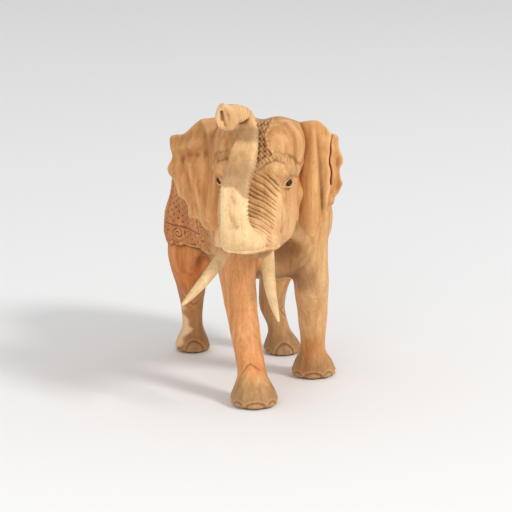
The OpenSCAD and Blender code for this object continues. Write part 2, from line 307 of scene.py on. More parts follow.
def skin(name, field, grid, cuts=()):
    """A mesh object over the field's zero surface, cut by planes (point, normal, top): what
    is past the plane and below the height top goes. It stores how deep in a hollow each
    point lies."""
    level = openvdb.FloatGrid(background=grid.h * 3)
    level.copyFromArray(np.clip(field / grid.h, -3, 3).astype(np.float32))
    points, quads = level.convertToQuads(isovalue=0.0)
    points = points.astype(float) * grid.h + grid.low
    a, b, c = (points[quads[:, k]] for k in (0, 1, 2))
    middle = points[quads].mean(axis=1)
    outward = (np.cross(b - a, c - a) * grid.gradient(field, middle)).sum()
    if outward * np.linalg.det(grid.place.turn) < 0:
        quads = quads[:, ::-1]
    mesh = bpy.data.meshes.new(name)
    mesh.from_pydata([], [], [])
    mesh.vertices.add(len(points))
    mesh.vertices.foreach_set("co", points.ravel())
    mesh.loops.add(quads.size)
    mesh.loops.foreach_set("vertex_index", quads.ravel().astype(np.int32))
    mesh.polygons.add(len(quads))
    mesh.polygons.foreach_set("loop_start", np.arange(0, quads.size, 4, dtype=np.int32))
    mesh.update(calc_edges=True)
    if cuts:
        cut_mesh(mesh, cuts)
    finish_mesh(mesh, field, grid, cuts)
    return in_scene(name, mesh)


def in_scene(name, data):
    """A new object in the scene, over a mesh, light or camera."""
    made = bpy.data.objects.new(name, data)
    bpy.context.scene.collection.objects.link(made)
    return made


def cut_mesh(mesh, cuts):
    """Cuts the mesh by each plane, drops what lies beyond it and closes the hole."""
    bm = bmesh.new()
    bm.from_mesh(mesh)
    for point, normal, top in cuts:
        verts = [v for v in bm.verts if v.co.z < top]
        edges = [e for e in bm.edges if min(v.co.z for v in e.verts) < top]
        faces = [f for f in bm.faces if f.verts[0].co.z < top]
        bmesh.ops.bisect_plane(
            bm, geom=verts + edges + faces, dist=1e-4, plane_co=Vector(point), plane_no=Vector(normal),
            clear_outer=True,
        )
        rim = [e for e in bm.edges if e.is_boundary]
        bmesh.ops.holes_fill(bm, edges=rim, sides=0)
    keep_largest(bm)
    bm.to_mesh(mesh)
    bm.free()


def keep_largest(bm):
    """Drops every loose part of the mesh but the largest."""
    seen = set()
    parts = []
    for start in bm.verts:
        if start in seen:
            continue
        seen.add(start)
        part = [start]
        for v in part:
            for e in v.link_edges:
                w = e.other_vert(v)
                if w not in seen:
                    seen.add(w)
                    part.append(w)
        parts.append(part)
    parts.sort(key=len)
    loose = [v for part in parts[:-1] for v in part]
    if loose:
        bmesh.ops.delete(bm, geom=loose, context="VERTS")


def finish_mesh(mesh, field, grid, cuts):
    """Shades the skin by the field's slope, leaves the cut faces flat, stores the hollows
    and moves the mesh to the row's frame."""
    points = read(mesh.vertices, "co", 3)
    corners = read(mesh.loops, "vertex_index", 1, np.int32)
    totals = read(mesh.polygons, "loop_total", 1, np.int32)
    face_normals = read(mesh.polygons, "normal", 3)
    owner = np.repeat(np.arange(len(totals)), totals)
    corner_normals = grid.gradient(field, points)[corners]
    middles = np.zeros((len(totals), 3))
    np.add.at(middles, owner, points[corners])
    middles /= totals[:, None]
    for point, normal, _ in cuts:
        on_plane = np.abs((middles - np.array(point)) @ np.array(normal)) < 1e-3
        flat = on_plane & (np.abs(face_normals @ np.array(normal)) > 0.999)
        corner_normals[flat[owner]] = face_normals[owner][flat[owner]]
    mesh.polygons.foreach_set("use_smooth", np.ones(len(totals), bool))
    # How deep each point lies in small and in large hollows; the wood material paints shade from these.
    for name, deepest, blur in (("hollow", 12, HOLLOW_BLUR), ("fold", 16, FOLD_BLUR)):
        depth = -grid.sample(soften(np.clip(field, -deepest, deepest), blur, grid.h), points)
        mesh.attributes.new(name, "FLOAT", "POINT").data.foreach_set("value", depth)
    mesh.vertices.foreach_set("co", ((grid.place.drawing(points) + SHIFT) * MM).ravel())
    mesh.update()
    mesh.normals_split_custom_set([tuple(n) for n in corner_normals @ grid.place.turn])


def paint(piece, name, value):
    """Stores one number for each vertex."""
    data = piece.data.attributes.new(name, "FLOAT", "POINT").data
    data.foreach_set("value", np.ascontiguousarray(value, np.float32))


def places(piece):
    """The piece's vertices in the drawing frame."""
    return read(piece.data.vertices, "co", 3) / MM - SHIFT


# ---- shapes shared by neighbouring pieces ----


def filled(names, grid, dowels):
    """The frame solids of names, each with the dowel bores filled up."""
    fields = {name: solid(name, grid) for name in names}
    for dowel in dowels:
        plugs = solid(dowel, grid) - 1.5
        fields = {name: np.minimum(field, plugs) for name, field in fields.items()}
    return fields


def carve_foot(field, grid, foot, radius, toe_turn, nails):
    """Arched toenails scored low round the front of a foot, over an undercut sole.

    nails are rows of degrees round the foot, half width and height."""
    x, y, z = grid.x, grid.y, grid.z
    round_foot = np.arctan2(x - foot[0], -(y - foot[1]))
    reach = np.sqrt((x - foot[0]) ** 2 + (y - foot[1]) ** 2)
    on_skin = ramp(reach, radius * 0.45, radius * 0.75)
    for turn, half, height in nails:
        across = (round_foot - math.radians(turn + toe_turn)) * radius
        span = np.sqrt((across / half) ** 2 + ((z + 1) / height) ** 2)
        rim = (span - 1) * min(half, height)
        rim = rim + 0.8 * np.sin(across / 7.3 + turn)
        field = field + on_skin * 1.5 * bell(rim, 1.5) * ramp(z, -2, 1)
        field = field - on_skin * 0.8 * bell(rim - 3.0, 2.0)
        field = field - on_skin * 1.3 * ramp(-rim, 1, 6)
    return field + on_skin * 2.6 * (1 - ramp(z, 0, 5))


FRONT_NAILS = ((-86, 12, 11), (-46, 13, 12), (2, 18, 14), (50, 12, 13), (86, 11, 10))
HIND_NAILS = ((-74, 10, 11), (-18, 18, 25), (42, 11, 12), (80, 10, 10))

LEGS = {
    "leg_front_right": {"foot": (-67, -207), "radius": 40, "toe_turn": -14, "nails": FRONT_NAILS},
    "leg_front_left": {"foot": (82, -60), "radius": 39, "toe_turn": -20, "nails": FRONT_NAILS},
    "leg_hind_right": {"foot": (-88, 165), "radius": 33, "toe_turn": 14, "nails": HIND_NAILS},
    "leg_hind_left": {"foot": (71, 105), "radius": 36, "toe_turn": 10, "nails": HIND_NAILS},
}

# A crease scored into a leg, as points near the skin in the drawing frame.
CREASES = {
    "leg_front_right": [
        (-103, -215, 59), (-94, -222, 70), (-82, -224, 76), (-70, -222, 71), (-60, -217, 62),
    ],
    "leg_hind_right": [
        (-118, 134, 112), (-106, 124, 98), (-94, 121, 90), (-84, 123, 98), (-76, 128, 114),
    ],
    "leg_hind_left": [(48, 76, 98), (60, 66, 88), (76, 64, 92), (90, 74, 106)],
}


def leg_piece(name):
    low, high = node_box(name)
    grid = Grid(low - (34, 34, 4), (high[0] + 34, high[1] + 34, 188), 1.5)
    fields = filled(["torso", name], grid, ["leg_dowels"])
    union = redistance(np.minimum(fields["torso"], fields[name]), grid)
    near_joint = ramp(grid.z, 108, 148)
    fine = soften(union, 3.2, grid.h) - 0.3
    fine = fine + 1.0 * waviness(grid, 26, 3) + 0.4 * waviness(grid, 11, 5)
    field = fine + (torso_skin(union, grid) - fine) * near_joint
    field = carve_foot(body_folds(field, grid), grid, **LEGS[name])
    if name in CREASES:
        field = scored(field, grid, CREASES[name], 1.3)
    field = np.maximum(field, -grid.z)
    cuts = [((0, 0, LEG_JOINT_Z), (0, 0, 1), WHOLE), ((0, 0, 0.02), (0, 0, -1), WHOLE)]
    return skin(name, field.astype(np.float32), grid, cuts)


# ---- torso ----

CLOTH = {"front": -40, "back": 150, "hem": 226}


def cloth_relief(grid):
    """How far the saddle cloth's carving stands out at each place on the flanks."""
    y, z = grid.y, grid.z
    up = 290 + 135 * np.arctan2(z - 290, np.abs(grid.x))
    rim = np.minimum(np.minimum(z - CLOTH["hem"], y - CLOTH["front"]), CLOTH["back"] - y)
    along = np.where(z - CLOTH["hem"] < y - CLOTH["front"], y, up + 9)
    scallops = 4 + 5 * np.abs(np.sin(math.pi * along / 24)) + 2 * np.sin(along / 17.0)
    height = 3.4 * ramp(rim + scallops, -1.4, 1.4) - 2.4 * ramp(rim + scallops, -34, -2)
    height -= 1.6 * bell(rim + scallops - 6, 1.7) + 1.8 * bell(rim - 30, 1.9)
    in_band = ramp(rim, 3, 6) * (1 - ramp(rim, 25, 28))
    turn = np.mod(along, 30) - 15
    side = np.sign(np.sin(math.pi * along / 30))
    across = rim - 15
    ring = np.sqrt(turn ** 2 + (across - 2 * side) ** 2)
    winding = np.arctan2(across - 2 * side, turn)
    curl = np.sin(ring * 1.05 + side * winding)
    height += in_band * (2.6 * ramp(curl, -0.35, 0.45) - 1.3) * (1 - ramp(ring, 12.5, 14.5))
    vine = across + 8 * np.sin(2 * math.pi * along / 60)
    height += in_band * 2.2 * bell(vine, 2.0) * ramp(ring, 10, 13)
    inner = ramp(rim, 31, 34)
    row = np.floor(y / 12)
    dot = np.sqrt((np.mod(y, 12) - 6) ** 2 + (np.mod(up + 6 * np.mod(row, 2), 12) - 6) ** 2)
    return height + inner * (1.0 * bell(dot - 4.2, 1.4) - 2.0 * bell(dot, 1.9))


def ear_roots(grid, out):
    """The parts of both ears that are let into the head, up to a distance out."""
    level = np.stack(np.broadcast_arrays(grid.x, grid.y, np.zeros((1, 1, 1))), axis=-1)
    drawn = grid.place.drawing(level)
    roots = [
        np.maximum(solid(name, grid) - 1.0, ear["place"].local(drawn)[..., 0] - out)
        for name, ear in EARS.items()
    ]
    return np.minimum(*roots).astype(np.float32)


def torso_skin(union, grid):
    """The body's skin over the joined blocks, as the torso and the tops of the legs share it."""
    return soften(union, 6.0, grid.h) - 0.7 + 1.3 * waviness(grid, 34, 7)


def body_folds(field, grid):
    """Hollows between thigh and belly, and the hollow of the chest."""
    x, y, z = grid.x, grid.y, grid.z
    field = carve(field, ellipsoid(x, y, z, (-92, 66, 180), (13, 16, 20)), 12)
    field = carve(field, ellipsoid(x, y, z, (92, 48, 178), (12, 16, 20)), 12)
    chest = [(-6, -168, 240), (-6, -168, 205), (-4, -172, 150), (4, -180, 92)]
    return carve(field, tube(x, y, z, chest, [36, 40, 40, 36]), 10)


def torso_piece():
    low, high = node_box("torso")
    grid = Grid(low - (12, 12, 28), high + 12, 2.0)
    names = ["torso", "head", *LEGS]
    fields = filled(names, grid, ["leg_dowels", "neck_dowels", "ear_dowels"])
    union = np.minimum(fields["torso"], ear_roots(grid, 2))
    for leg in LEGS:
        union = np.minimum(union, fields[leg])
    union = redistance(union, grid)
    union = melt(union, fields["head"], 24)
    field = body_folds(torso_skin(union, grid), grid)
    flanks = ramp(np.abs(grid.x), 20, 40)
    in_front = ramp(grid.y, CLOTH["front"] - 14, CLOTH["front"] + 2)
    field = field - cloth_relief(grid) * (0.35 + 0.65 * flanks) * in_front
    field = field - 1.6 * bell(grid.x, 14) * ramp(grid.z, 400, 425)
    cuts = [((0, 0, LEG_JOINT_Z), (0, 0, -1), WHOLE), (NECK_AT, NECK_NORMAL, WHOLE)]
    return skin("torso", field.astype(np.float32), grid, cuts)


# ---- head ----


def eye_frame(side):
    """The eye's own frame: x along the lids towards the ear, y out of the head, z up."""
    back = (side * math.cos(EYE_TURN), math.sin(EYE_TURN), 0)
    out = (side * math.sin(EYE_TURN), -math.cos(EYE_TURN), 0)
    return HEAD.inside((side * EYE_AT[0], EYE_AT[1], EYE_AT[2]), (back, out, (0, 0, 1)))


def sculpt_eye(field, grid, side):
    """A hollow for the eye with an upper and a lower lid round it."""
    dx, dy = grid.x - side * EYE_AT[0], grid.y - EYE_AT[1]
    across = dx * side * math.cos(EYE_TURN) + dy * math.sin(EYE_TURN)
    out = dx * side * math.sin(EYE_TURN) - dy * math.cos(EYE_TURN)
    up = grid.z - EYE_AT[2]
    field = melt(field, ellipsoid(across, out, up, (0, -9, 0), (12, 11, 12)), 3)
    field = carve(field, ellipsoid(across, out, up, (0.5, 6, 0.5), (13, 7, 9)), 3)
    lids = (
        [(-13, 0, -6), (-8, 2.5, 3), (-1, 3.6, 7.6), (7, 2.6, 8.6), (15, -2.0, 8)],
        [(-13, 0, -6), (-5, 2.5, -7.4), (3, 2.8, -6.8), (9, 1.2, -1.8), (15, -2.0, 8)],
    )
    for lid in lids:
        field = melt(field, tube(across, out, up, lid, [1.0, 1.7, 1.9, 1.7, 1.0]), 1.2)
    folds = (
        [(-11, 1, 7), (-3, 2.5, 13), (6, 2, 14.5), (16, -2, 13)],
        [(-12, 1, -11), (-3, 1.5, -13), (6, 0.5, -11.5), (13, -2, -5)],
    )
    for fold in folds:
        field = carve(field, tube(across, out, up, fold, [0.4, 1.4, 1.4, 0.4]), 2.5)
    return field


def rope_height(away):
    """Height of the headpiece's rope band at a distance from the middle of the face."""
    return np.interp(away, [0, 14, 23, 40, 55, 63, 68, 80], [408, 415, 423, 430, 425, 413, 401, 380])


def lattice_width(z):
    """Half the width of the headpiece's lattice at a height on the forehead."""
    return np.interp(z, [405, 430, 443, 462, 478, 490], [46, 40, 28, 20, 26, 26])


def headpiece(grid):
    """Relief of the carved headpiece: a lattice between the domes and a rope over the brows."""
    x, y, z = grid.x, grid.y, grid.z
    away = np.abs(x)
    width = lattice_width(z)
    front = 1 - ramp(y, -6, 4)
    above = z - rope_height(away)
    inside = ramp(width - away, 0, 2.5) * ramp(above, 2, 5) * front
    lines = np.abs(np.sin(math.pi * (away + z) / 7.4)) * np.abs(np.sin(math.pi * (away - z) / 7.4))
    curls = np.sin(math.pi * (0.7 * away + z) / 9.5) * np.sin(math.pi * (away - 0.8 * z) / 8.3)
    height = inside * (1.3 * ramp(lines, 0.1, 0.5) + 0.6 * np.tanh(3 * curls) - 0.8)
    edge = bell(width - away, 2.2) * ramp(above, 1, 4) * front
    height += 2.0 * edge * (0.6 + 0.4 * np.sin(2 * math.pi * z / 6.4))
    slope = np.gradient(rope_height(np.arange(0, 81.0)))
    lean = np.sqrt(1 + np.interp(away, np.arange(0, 81.0), slope) ** 2)
    off = above / lean
    beads = 0.7 + 0.3 * np.sin(2 * math.pi * (away * lean + 0.7 * off) / 6.4)
    height += front * (2.6 * bell(off / 4.0, 1.0) * beads - 0.6 * bell(np.abs(off) - 6.6, 1.6))
    return height


def root_wrinkles(x, y, z):
    """Folds across the root of the trunk, lapping like shingles."""
    lean = math.radians(39)
    droop = 0.44 * np.sqrt((x + 8) ** 2 + 60)
    phase = (y * math.sin(lean) + z * math.cos(lean) + droop) / 8.4
    cut = np.mod(phase + 0.22 * np.sin(phase * 1.7) + 0.07 * np.sin(x / 5), 1.0)
    depth = 1.7 * bell(cut - 0.5, 0.19) + 1.3 * cut - 0.5
    where = (1 - ramp(np.abs(x), 40, 49)) * ramp(z, 284, 296) * (1 - ramp(z, 394, 408))
    return depth * where * (1 - ramp(y, -52, -42))


def head_piece():
    low, high = node_box("head", HEAD)
    grid = Grid(low - 12, high + 14, 1.45, HEAD)
    fields = filled(["head", "torso", "trunk"], grid, ["neck_dowels", "trunk_dowels", "ear_dowels"])
    x, y, z = grid.x, grid.y, grid.z
    field = np.minimum(fields["head"], ear_roots(grid, 2))
    for side, root in ((1, (28, -75, 288)), (-1, (-35, -79, 287))):
        plug = tube(x, y, z, [root, (root[0] * 0.9, root[1] + 8, root[2] + 26)], [12, 9])
        field = np.minimum(field, plug)
    field = melt(field, fields["torso"], 24)
    field = melt(field, fields["trunk"], 12)
    field = soften(field, 4.5, grid.h) - 0.5
    field = field + 0.7 * waviness(grid, 22, 11)
    field = melt(field, ellipsoid(x, y, z, (6, -62, 272), (26, 30, 11)), 8)
    for side in (1, -1):
        outer = x * side
        field = melt(field, ellipsoid(outer, y, z, (37, -5, 440), (37, 60, 43)), 10)
        field = melt(field, ellipsoid(outer, y, z, (42, -47, 407), (27, 28, 20)), 9)
        field = melt(field, ellipsoid(outer, y, z, (50, -22, 324), (13, 32, 36)), 12)
        field = melt(field, ellipsoid(outer, y, z, (42, -90, 298), (12, 20, 16)), 9)
        groove = [(53, -64, 368), (56, -66, 340), (56, -68, 312), (52, -66, 284)]
        field = carve(field, tube(outer, y, z, groove, [1.5, 3.5, 5.0, 6]), 6)
        line = [(62, -44, 356), (64, -46, 330), (61, -48, 300)]
        field = carve(field, tube(outer, y, z, line, [0.8, 2.4, 2.0]), 5)
        field = sculpt_eye(field, grid, side)
    field = field + 5.5 * bell(x, 15) * ramp(z, 400, 430)
    field = field - headpiece(grid) + root_wrinkles(x, y, z)
    cuts = [
        (HEAD.local(NECK_AT), -NECK_NORMAL @ HEAD.turn.T, WHOLE),
        ((0, -MUZZLE_FRONT, 304), (0, -1, 0), WHOLE),
    ]
    return skin("head", field.astype(np.float32), grid, cuts)


# ---- trunk ----

TRUNK = spline([
    (0, -98, 304, 45, 28), (-1, -110, 301, 43, 24), (-4, -124, 302, 36, 22),
    (-8, -135, 314, 28, 20), (-11, -141, 336, 23, 18), (-11, -142, 365, 22.5, 17),
    (-10, -138, 393, 23, 17), (-5, -121, 418, 23, 17), (-3, -101, 441, 21, 16),
    (-1, -85, 462, 17, 15), (-3, -74, 478, 15, 14), (-8, -71, 491, 14, 14),
    (-14, -79, 499, 14, 13), (-20, -92, 500, 15, 15), (-25, -105, 499, 16, 18),
    (-29, -116, 497, 17, 21),
], 6)


def trunk_frames():
    """Along the trunk's middle: its direction, its side, its back, and the length so far."""
    middle = TRUNK[:, :3]
    ahead = np.gradient(middle, axis=0)
    ahead /= np.linalg.norm(ahead, axis=1)[:, None]
    back = np.cross(ahead, (1, 0, 0))
    back /= np.linalg.norm(back, axis=1)[:, None]
    side = np.cross(back, ahead)
    steps = np.linalg.norm(np.diff(middle, axis=0), axis=1)
    return middle, side, back, np.concatenate([[0], np.cumsum(steps)]), ahead


def sculpt_trunk(field, grid):
    """Flattens the underside of the trunk and rings its back with folds."""
    middle, side, back, length, ahead = trunk_frames()
    near = np.abs(field) < 11
    cells = np.argwhere(near)
    points = (cells * grid.h + grid.low).astype(np.float32)
    value = field[near]
    out = np.empty(len(points), np.float32)
    for start in range(0, len(points), 60000):
        p = points[start:start + 60000]
        gap = ((p[:, None, :] - middle[None].astype(np.float32)) ** 2).sum(-1)
        k = gap.argmin(axis=1)
        d = p - middle[k]
        a = (d * side[k]).sum(1)
        b = (d * back[k]).sum(1)
        s = length[k] + (d * ahead[k]).sum(1)
        thick = TRUNK[k, 4]
        wide = TRUNK[k, 3]
        f = value[start:start + 60000]
        rising = ramp(s, 42, 62) * (1 - ramp(s, 236, 262))
        flat = -b - 0.66 * thick
        f = np.where(rising > 0, f + (eased_max(f, flat, 5) - f) * rising, f)
        on_back = ramp(b / thick + 0.45 * np.abs(a / wide), -0.15, 0.3)
        ring = np.abs(np.sin(math.pi * s / 7.0)) ** 0.6
        folds = (2.1 * (0.72 - ring)) * on_back * ramp(s, 50, 80) * (1 - ramp(s, 296, 304))
        dents = 0.35 * np.sin(s / 5.1 + 2 * np.sin(a / 7)) * (1 - on_back)
        out[start:start + 60000] = f + folds + dents
    field[near] = out
    return field


def sculpt_tip(field, grid):
    """Two fleshy lobes at the trunk's end with the nostril slit between them."""
    x, y, z = grid.x, grid.y, grid.z
    field = melt(field, ellipsoid(x, y, z, (-37, -112, 500), (8, 12, 19)), 5)
    field = melt(field, ellipsoid(x, y, z, (-22, -111, 495), (9, 12, 19)), 5)
    field = carve(field, ellipsoid(x, y, z, (-30, -129, 498), (10, 11, 14)), 4)
    rim = [
        (-31, -121, 516), (-40, -119, 509), (-44, -119, 497), (-39, -119, 484), (-30, -120, 478),
        (-20, -119, 480), (-15, -118, 490), (-20, -119, 505), (-31, -121, 516),
    ]
    field = melt(field, tube(x, y, z, rim, [3.2] * len(rim)), 6)
    lobe = [(-33, -120, 509), (-29, -118, 498), (-26, -118, 485)]
    field = melt(field, tube(x, y, z, lobe, [1.5, 3.0, 1.5]), 4)
    return carve(field, tube(x, y, z, [(-36, -121, 506), (-35, -121, 494)], [2.2, 2.4]), 3)


def trunk_piece():
    low, high = node_box("trunk", HEAD)
    grid = Grid(low - 12, high + (12, 20, 10), 1.2, HEAD)
    fields = filled(["trunk", "head"], grid, ["trunk_dowels"])
    x, y, z = grid.x, grid.y, grid.z
    near_joint = np.maximum(fields["head"], z - 352)
    field = melt(fields["trunk"], near_joint, 12)
    field = soften(field, 3.0, grid.h) - 0.2
    field = field + 0.6 * waviness(grid, 17, 23)
    field = sculpt_trunk(field.astype(np.float32), grid)
    field = sculpt_tip(field, grid)
    low = 1 - ramp(z, 330, 345)
    field = field + root_wrinkles(x, y, z) * low * ramp(y, -132, -112)
    for side in (1, -1):
        field = melt(field, ellipsoid(x, y, z, (side * 42, -92, 298), (12, 20, 16)), 9)
    lip = spline([
        (-50, -98, 291), (-46, -108, 285), (-36, -126, 281), (-20, -137, 279), (0, -142, 278),
        (20, -138, 278), (38, -125, 279), (50, -108, 282), (54, -98, 288),
    ], 3)
    for _ in range(4):
        lip = lip - grid.sample(field, lip)[:, None] * grid.gradient(field, lip)
    thick = 2.4 + 0.7 * np.sin(np.arange(len(lip)) * 1.1)
    field = melt(field, tube(x, y, z, lip, thick), 3)
    under = [(-38, -100, 270), (-20, -124, 268), (4, -130, 267), (26, -122, 268), (42, -100, 270)]
    field = carve(field, tube(x, y, z, under, [6] * len(under)), 6)
    cuts = [((0, -MUZZLE_FRONT, 304), (0, 1, 0), 352)]
    return skin("trunk", field.astype(np.float32), grid, cuts)


# ---- ears ----


def ear_place(side, sweep):
    """An ear's own frame: x out from its root, y back, z up."""
    a = math.radians(sweep)
    out = (side * math.cos(a), math.sin(a), 0)
    back = (-side * math.sin(a), math.cos(a), 0)
    return HEAD.inside((side * 60, 26, 0), (out, back, (0, 0, 1)))


# Outline from the lower tip up the rim and back down the root, as distance out and height.
EARS = {
    "ear_right": {
        "place": ear_place(-1, 14),
        "outline": [
            (10, 262), (13, 274), (18, 282), (27, 284), (36, 285), (42, 289), (47, 296), (52, 302),
            (61, 303), (69, 304), (74, 309), (74, 318), (75, 326), (78, 332), (86, 335), (95, 338),
            (98, 344), (98, 352), (100, 360), (104, 367), (112, 372), (116, 379), (115, 387),
            (109, 399), (106, 412), (108, 425), (109, 433), (106, 441), (96, 444), (85, 445),
            (78, 448), (65, 458), (53, 468), (40, 475), (24, 478), (8, 477), (-14, 470),
            (-14, 320), (0, 300), (4, 280),
        ],
    },
    "ear_left": {
        "place": ear_place(1, 24),
        "outline": [
            (19, 281), (25, 282), (32, 289), (38, 299), (46, 309), (53, 318), (57, 328), (63, 334),
            (65, 344), (72, 350), (76, 360), (78, 368), (74, 378), (74, 392), (79, 404), (75, 418),
            (71, 430), (72, 444), (66, 450), (56, 453), (48, 462), (38, 472), (29, 477), (16, 477),
            (4, 473), (-14, 464), (-14, 330), (-2, 314), (4, 300), (10, 289),
        ],
    },
}


def outline_distance(points, x, z):
    """Distance in the plane to a closed smooth outline, negative inside it."""
    p = np.array(points, float)
    n = len(p)
    loop = []
    for i in range(n):
        loop += stretch(p[i - 1], p[i], p[(i + 1) % n], p[(i + 2) % n], 4)
    gap = np.full(np.broadcast(x, z).shape, 1e9)
    inside = np.zeros(gap.shape, bool)
    for a, b in zip(loop, loop[1:] + loop[:1]):
        d = b - a
        t = np.clip(((x - a[0]) * d[0] + (z - a[1]) * d[1]) / max(d @ d, 1e-9), 0, 1)
        gap = np.minimum(gap, (x - a[0] - t * d[0]) ** 2 + (z - a[1] - t * d[1]) ** 2)
        if a[1] != b[1]:
            edge = (b[0] - a[0]) * (z - a[1]) / (b[1] - a[1]) + a[0]
            inside ^= ((a[1] > z) != (b[1] > z)) & (x < edge)
    return np.sqrt(gap) * np.where(inside, -1, 1)


def ear_right_middle(x, z):
    """How far back the middle of the right ear's thickness lies."""
    back = -9 * np.sin(np.clip(math.pi * x / 96, 0, math.pi))
    ridge = np.interp(z, [290, 340, 391, 424, 451, 476], [26, 20, 14, 18, 24, 38])
    back = back - 9 * bell(x - ridge, 9) * ramp(z, 285, 330)
    back = back + 9 * bell(x - ridge + 17, 8) * ramp(z, 320, 360)
    crease = z - np.interp(x, [20, 60, 95, 115], [426, 420, 413, 408])
    back = back - 6.5 * bell(crease - 10, 11) * ramp(x, 22, 40)
    back = back + 6.5 * bell(crease + 8, 11) * ramp(x, 22, 40)
    long_fold = x - np.interp(z, [300, 350, 400], [52, 66, 84])
    back = back + 5.5 * bell(long_fold, 10) * ramp(z, 290, 310) * (1 - ramp(z, 395, 415))
    return back - 6 * bell(long_fold + 17, 9) * ramp(z, 290, 310) * (1 - ramp(z, 395, 415))


def left_gap(z):
    """Where the left ear's front lobe ends and its stepped-back flap begins."""
    return 51.5 + 0.03 * (z - 400) + 2.0 * np.sin(z / 14) + 0.8 * np.sin(z / 4.7)


def ear_left_middle(x, z):
    """How far back the middle of the left ear's thickness lies; its outer flap steps back."""
    back = -7 * np.sin(np.clip(math.pi * x / 70, 0, math.pi))
    step = left_gap(z)
    back = back + 9 * ramp(x, step - 1.5, step + 3) * ramp(z, 312, 335)
    back = back - 7.0 * bell(x - 22 - 0.04 * (z - 400), 12)
    back = back + 13.0 * bell(x + 1 + 2.5 * np.sin(z / 19), 8)
    back = back - 3.0 * bell(x - step + 5, 5) * ramp(z, 325, 345)
    fold = x - np.interp(z, [300, 360, 430, 470], [42, 36, 30, 26])
    back = back + 3.5 * bell(fold, 5)
    return back - 3.5 * ramp(x, 66, 78)


def ear_piece(name, middle, thick):
    about = EARS[name]
    grid = Grid((-20, -38, 252), (122, 26, 486), 1.15, about["place"])
    x, y, z = grid.x, grid.y, grid.z
    flat_x, flat_z = x[:, 0, :], z[0]
    rim = outline_distance(about["outline"], flat_x, flat_z)
    centre = middle(flat_x, flat_z)
    half = 0.5 * (thick * (1 - 0.45 * ramp(-rim, 26, 0)) + 4 * (1 - ramp(flat_x, -8, 16)))
    if name == "ear_left":
        half = half + 2.6 * bell(flat_x - left_gap(flat_z) - 1, 5) * ramp(flat_z, 330, 350)
    ripple = 2.6 * np.sin((flat_z + 0.55 * flat_x) / 6.8) * (1 - ramp(-rim, 4, 38)) * ramp(flat_x, 20, 50)
    centre = centre + ripple + 0.5 * np.sin(flat_x / 2.6 + 0.8 * np.sin(flat_z / 31)) * ramp(-rim, 3, 12)
    sheet = np.abs(y - centre[:, None, :]) - half[:, None, :]
    sheet = sheet + 0.7 * waviness(grid, 15, 31)
    field = eased_max(sheet, np.broadcast_to(rim[:, None, :], sheet.shape), 4)
    if name == "ear_left":
        gap = np.maximum(np.abs(x - left_gap(z) - 3.0) - 2.1, y - centre[:, None, :] + 0.6)
        gap = np.maximum(gap, 366 - z)
        field = carve(field, gap, 2)
    head = redistance(np.minimum(solid("head", grid), solid("torso", grid)), grid)
    head = soften(head, 3.0, grid.h)
    skirt = melt(field, head + 0.8, 5)
    field = np.maximum(skirt, -(head + 5))
    near = np.maximum(np.abs(y - centre[:, None, :]) - 20, rim[:, None, :] - 10)
    field = np.maximum(field, near)
    return skin(name, soften(field.astype(np.float32), 1.0, grid.h), grid)


# ---- tusks ----

TUSKS = {
    "tusk_right": [
        (-35, -79, 287, 10.5), (-40, -88, 273, 10.5), (-50, -105, 254, 10.1), (-62, -126, 236, 9.1),
        (-74, -149, 220, 7.1), (-84, -171, 208, 4.3), (-88.5, -181, 203.5, 1.6),
    ],
    "tusk_left": [
        (28, -75, 288, 10.5), (31, -83, 273, 10.5), (35, -97, 254, 10.5), (40, -113, 235, 10),
        (47, -130, 216, 8.4), (56, -146, 197, 5.9), (63, -156, 182, 2.8), (64.6, -158.6, 179, 1.6),
    ],
}


def tusk_piece(name):
    path = spline(TUSKS[name], 4)
    low = path[:, :3].min(axis=0) - 14
    high = path[:, :3].max(axis=0) + 14
    grid = Grid(low, high, 0.95, HEAD)
    field = tube(grid.x, grid.y, grid.z, path[:, :3], path[:, 3])
    return skin(name, soften(field.astype(np.float32), 1.2, grid.h), grid)


# ---- eyes ----


def eye_piece(name, side):
    """A glass bead: a dome with a soft rim on a short shank."""
    profile = spline([
        (0, 4.6), (1.6, 4.25), (3.1, 3.4), (4.3, 2.2), (5.2, 0.7), (5.7, -0.9), (5.9, -2.6),
        (5.6, -6.8), (0, -6.9),
    ], 3)
    steps = 40
    place = eye_frame(side)
    points, faces = [], []
    for r, out in profile:
        for k in range(steps):
            a = 2 * math.pi * k / steps
            wide = max(r, 0.02)
            points.append((wide * math.cos(a), out + 1.9, wide * math.sin(a)))
    for j in range(len(profile) - 1):
        for k in range(steps):
            n = (k + 1) % steps
            faces.append((j * steps + k, j * steps + n, (j + 1) * steps + n, (j + 1) * steps + k))
    faces.append(tuple(reversed(range(steps))))
    faces.append(tuple(range((len(profile) - 1) * steps, len(profile) * steps)))
    if side > 0:
        faces = [face[::-1] for face in faces]
    drawn = (place.drawing(np.array(points)) + SHIFT) * MM
    mesh = bpy.data.meshes.new(name)
    mesh.from_pydata(drawn.tolist(), [], faces)
    mesh.polygons.foreach_set("use_smooth", np.ones(len(faces), bool))
    piece = in_scene(name, mesh)
    paint(piece, "from_pupil", [math.hypot(p[0], p[2]) for p in points])
    return piece


# ---- materials ----


